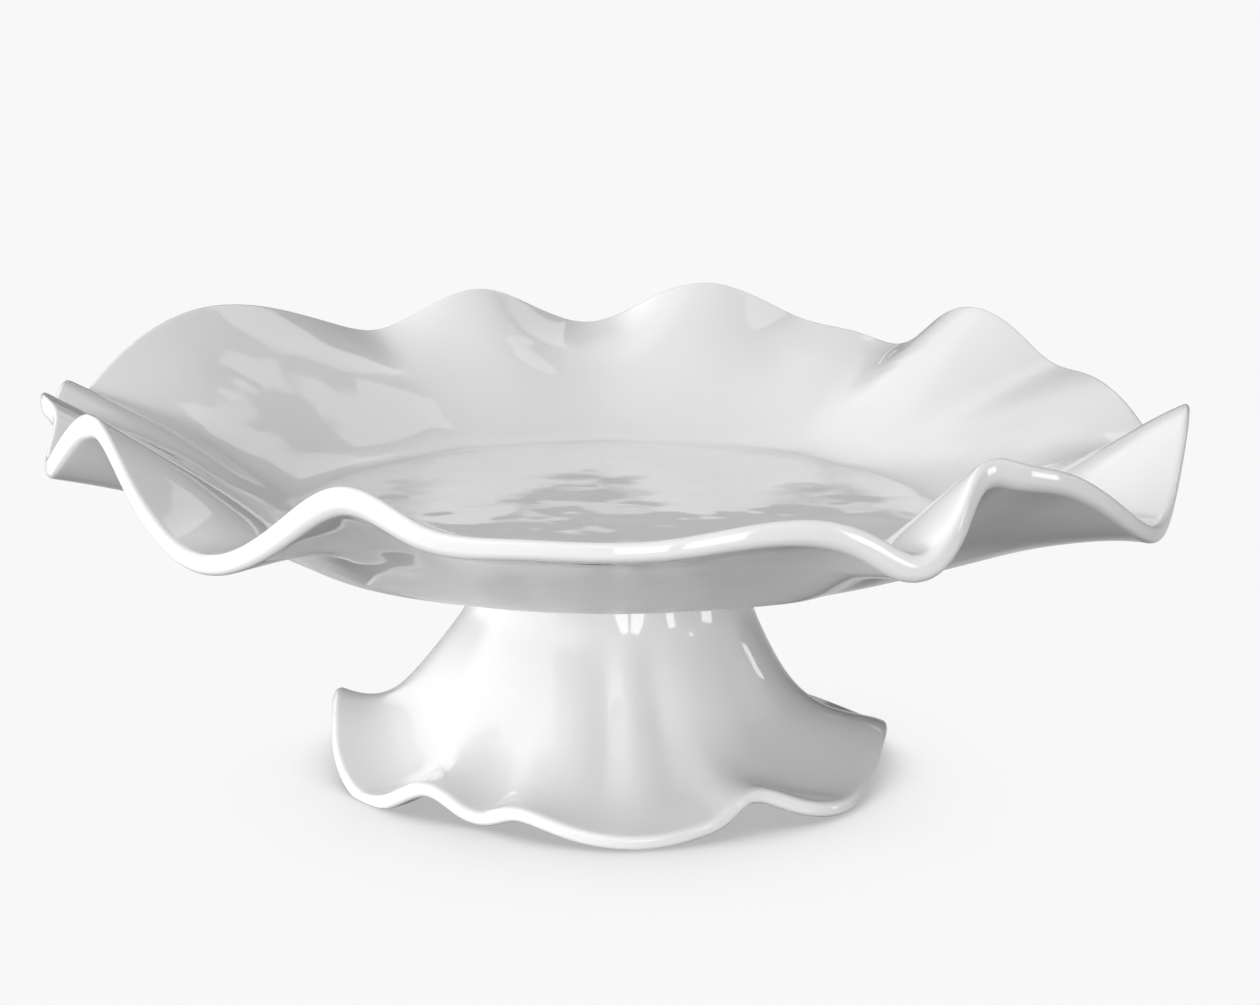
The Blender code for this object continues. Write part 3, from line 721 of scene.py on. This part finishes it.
def plated_metal(name, dark, light, grain):
    """Metal with fine tool marks round its axis and patches of duller plating."""
    material, tree, shader = new_material(name)
    place = object_coordinates(tree)
    patches = noise(tree, place, scale=180.0, detail=4.0, roughness=0.6)
    tree.links.new(blend_colours(tree, patches, dark, light), shader.inputs["Base Color"])
    tree.links.new(spread(tree, patches, 0.22, 0.42), shader.inputs["Roughness"])
    shader.inputs["Metallic"].default_value = 1.0
    rings = add_node(tree, "ShaderNodeTexWave", wave_type="RINGS", rings_direction="Z")
    rings.inputs["Scale"].default_value = grain
    rings.inputs["Distortion"].default_value = 1.5
    tree.links.new(place, rings.inputs["Vector"])
    add_bump(tree, shader, [(rings.outputs["Fac"], TOOL_MARK_DEPTH)])
    return material


# ---------------------------------------------------------------- studio
CAMERA_PLACE = (0.0061, -0.8066, 0.2805)
CAMERA_PITCH = 13.6
CAMERA_LENS = 71.43
CAMERA_SENSOR = 36.0
FLOOR_HALF = 30.0
FLOOR_TONE = 0.939
SHADOW_TONE = 0.46           # where the shadow is whole
SHADOW_REACH = 0.075         # how near the stand has to be to darken the floor, in metres
SHADOW_FULL = 0.35           # share of open surroundings where the shadow is whole
SHADOW_LIT = 1.0             # and where it ends
SHADOW_SAMPLES = 16
# Direction whose surroundings darken the floor most: the stand lies that way from its shadow
SHADOW_LEAN = (-0.18, 0.60, 0.78)

# Studio light as softboxes set round the stand, in degrees: middle azimuth, half width, lowest
# and highest elevation, softness of the edges, brightness
ZONES = (
    (202, 45, -4, 16, 8, 2.2),        # big window on the left, fading upwards
    (202, 45, 16, 36, 8, 2.1),
    (202, 45, 36, 58, 8, 1.6),
    (270, 22, -4, 58, 8, 1.3),        # the room in front
    (337, 45, -4, 16, 8, 0.8),        # dimmer room on the right
    (337, 45, 16, 58, 8, 0.8),
    (135, 22, 16, 36, 8, 2.1),        # the window's far end, seen over the left rim
    (135, 22, 36, 58, 8, 1.0),
    (90, 22, 36, 58, 8, 0.7),         # wall behind
    (0, 200, 58, 90, 8, 0.2),         # ceiling
    (180, 45, -35, -4, 10, 2.8),      # table top, bright on the window's side
    (90, 45, -35, -4, 10, 0.6),
    (270, 45, -35, -4, 10, 0.8),
    (0, 45, -35, -4, 10, 0.2),
)
# Window panes that glint in the gloss: azimuth, half width, lowest and highest elevation,
# softness, brightness
PANES = (
    (277.5, 5.5, -16, 0, 0.5, 7.0), (292.5, 6, -16, 0, 0.5, 7.0), (318, 3.5, -14, -5, 0.5, 7.0),
    (337, 2, 2, 6, 0.5, 6.0), (355, 5.5, -13, -7, 0.5, 6.0), (25, 2.5, 6.5, 12.5, 0.5, 4.0),
    (50, 11, 44.8, 62, 0.5, 1.1), (70, 7, 30, 43, 0.5, 0.9),
    (88, 8, 10.6, 13.2, 0.3, 0.6),
)


def value_node(tree, operation, first, second=None):
    node = add_node(tree, "ShaderNodeMath", operation=operation)
    for socket, value in zip(node.inputs, (first, second)):
        if isinstance(value, (int, float)):
            socket.default_value = value
        elif value is not None:
            tree.links.new(value, socket)
    return node.outputs[0]


def along_axis(tree, ray, axis):
    node = add_node(tree, "ShaderNodeVectorMath", operation="DOT_PRODUCT")
    tree.links.new(ray, node.inputs[0])
    node.inputs[1].default_value = axis
    return node.outputs["Value"]


def soft_step(tree, value, low, high):
    node = add_node(tree, "ShaderNodeMapRange", interpolation_type="SMOOTHSTEP")
    tree.links.new(value, node.inputs["Value"])
    node.inputs["From Min"].default_value = low
    node.inputs["From Max"].default_value = high
    return node.outputs["Result"]


def zone_light(tree, flat_ray, elevation, zone):
    """Brightness that one zone adds in the ray's direction."""
    azimuth, half_width, low, high, softness, brightness = zone
    middle = (math.cos(math.radians(azimuth)), math.sin(math.radians(azimuth)), 0)
    turn = value_node(tree, "ARCCOSINE", along_axis(tree, flat_ray, middle))
    turn = value_node(tree, "MULTIPLY", turn, math.degrees(1))
    mask = soft_step(tree, turn, half_width + softness, half_width - softness)
    if low > -90:
        above = soft_step(tree, elevation, low - softness, low + softness)
        mask = value_node(tree, "MULTIPLY", mask, above)
    if high < 90:
        below = soft_step(tree, elevation, high + softness, high - softness)
        mask = value_node(tree, "MULTIPLY", mask, below)
    return value_node(tree, "MULTIPLY", mask, brightness)


def make_world():
    world = bpy.data.worlds.new("studio")
    bpy.context.scene.world = world
    world.use_nodes = True
    tree = world.node_tree
    ray = add_node(tree, "ShaderNodeTexCoord").outputs["Generated"]
    rise = value_node(tree, "ARCSINE", along_axis(tree, ray, (0, 0, 1)))
    elevation = value_node(tree, "MULTIPLY", rise, math.degrees(1))
    flatten = add_node(tree, "ShaderNodeVectorMath", operation="MULTIPLY")
    tree.links.new(ray, flatten.inputs[0])
    flatten.inputs[1].default_value = (1, 1, 0)
    unit = add_node(tree, "ShaderNodeVectorMath", operation="NORMALIZE")
    tree.links.new(flatten.outputs[0], unit.inputs[0])
    total = 0.0
    for zone in ZONES + PANES:
        total = value_node(tree, "ADD", zone_light(tree, unit.outputs[0], elevation, zone), total)
    background = tree.nodes["Background"]
    background.inputs["Color"].default_value = (1, 1, 1, 1)
    tree.links.new(total, background.inputs["Strength"])


def make_floor():
    """Pale floor that shows only a soft shadow close round the foot."""
    data = bpy.data.meshes.new("studio_floor")
    signs = ((-1, -1), (1, -1), (1, 1), (-1, 1))
    corners = [(x * FLOOR_HALF, y * FLOOR_HALF, 0.0) for x, y in signs]
    data.from_pydata(corners, [], [(0, 1, 2, 3)])
    floor = bpy.data.objects.new("studio_floor", data)
    bpy.context.scene.collection.objects.link(floor)
    material, tree, shader = new_material("floor_paper")
    nearness = add_node(tree, "ShaderNodeAmbientOcclusion", samples=SHADOW_SAMPLES)
    nearness.inputs["Distance"].default_value = SHADOW_REACH
    toward = add_node(tree, "ShaderNodeCombineXYZ")
    for socket, part in zip(toward.inputs, SHADOW_LEAN):
        socket.default_value = part
    tree.links.new(toward.outputs[0], nearness.inputs["Normal"])
    lit = soft_step(tree, nearness.outputs["AO"], SHADOW_FULL, SHADOW_LIT)
    glow = value_node(tree, "MULTIPLY", lit, FLOOR_TONE - SHADOW_TONE)
    glow = value_node(tree, "ADD", glow, SHADOW_TONE)
    tree.links.new(glow, shader.inputs["Emission Strength"])
    shader.inputs["Emission Color"].default_value = (1, 1, 1, 1)
    shader.inputs["Base Color"].default_value = (0, 0, 0, 1)
    shader.inputs["Roughness"].default_value = 1.0
    shader.inputs["Specular IOR Level"].default_value = 0.0
    data.materials.append(material)
    floor.visible_diffuse = False
    floor.visible_glossy = False


def make_camera():
    lens = bpy.data.cameras.new("camera")
    lens.lens = CAMERA_LENS
    lens.sensor_width = CAMERA_SENSOR
    lens.clip_start = 0.01
    lens.clip_end = 200.0
    camera = bpy.data.objects.new("camera", lens)
    camera.location = CAMERA_PLACE
    camera.rotation_euler = (math.radians(90 - CAMERA_PITCH), 0, 0)
    bpy.context.scene.collection.objects.link(camera)
    bpy.context.scene.camera = camera


# ---------------------------------------------------------------- the scene
make_camera()
make_world()
make_floor()
bpy.context.scene.view_settings.view_transform = "Standard"

stand_for(make_plate(), "plate",
          glossy_white("plate_melamine", ripple=0.0012, ripple_end=0.176))
stand_for(make_pedestal(), "pedestal",
          glossy_white("pedestal_melamine", ripple=0.0002, ripple_end=0.085))
stand_for(make_gasket(), "seat_gasket", milky_rubber("milky_silicone"))
stand_for(make_insert(), "threaded_insert",
          plated_metal("turned_brass", (0.55, 0.36, 0.12), (0.74, 0.53, 0.22), 900.0))
stand_for(make_screw(), "clamp_screw",
          plated_metal("zinc_screw", (0.46, 0.47, 0.49), (0.62, 0.63, 0.65), 1200.0))
stand_for(make_lock_washer(), "lock_washer",
          plated_metal("spring_steel", (0.40, 0.41, 0.42), (0.56, 0.57, 0.58), 1500.0))
stand_for(make_flat_washer(), "flat_washer",
          plated_metal("zinc_washer", (0.50, 0.51, 0.52), (0.66, 0.67, 0.68), 600.0))
stand_for(make_cushion(), "cushion_washer", black_rubber("black_rubber"))
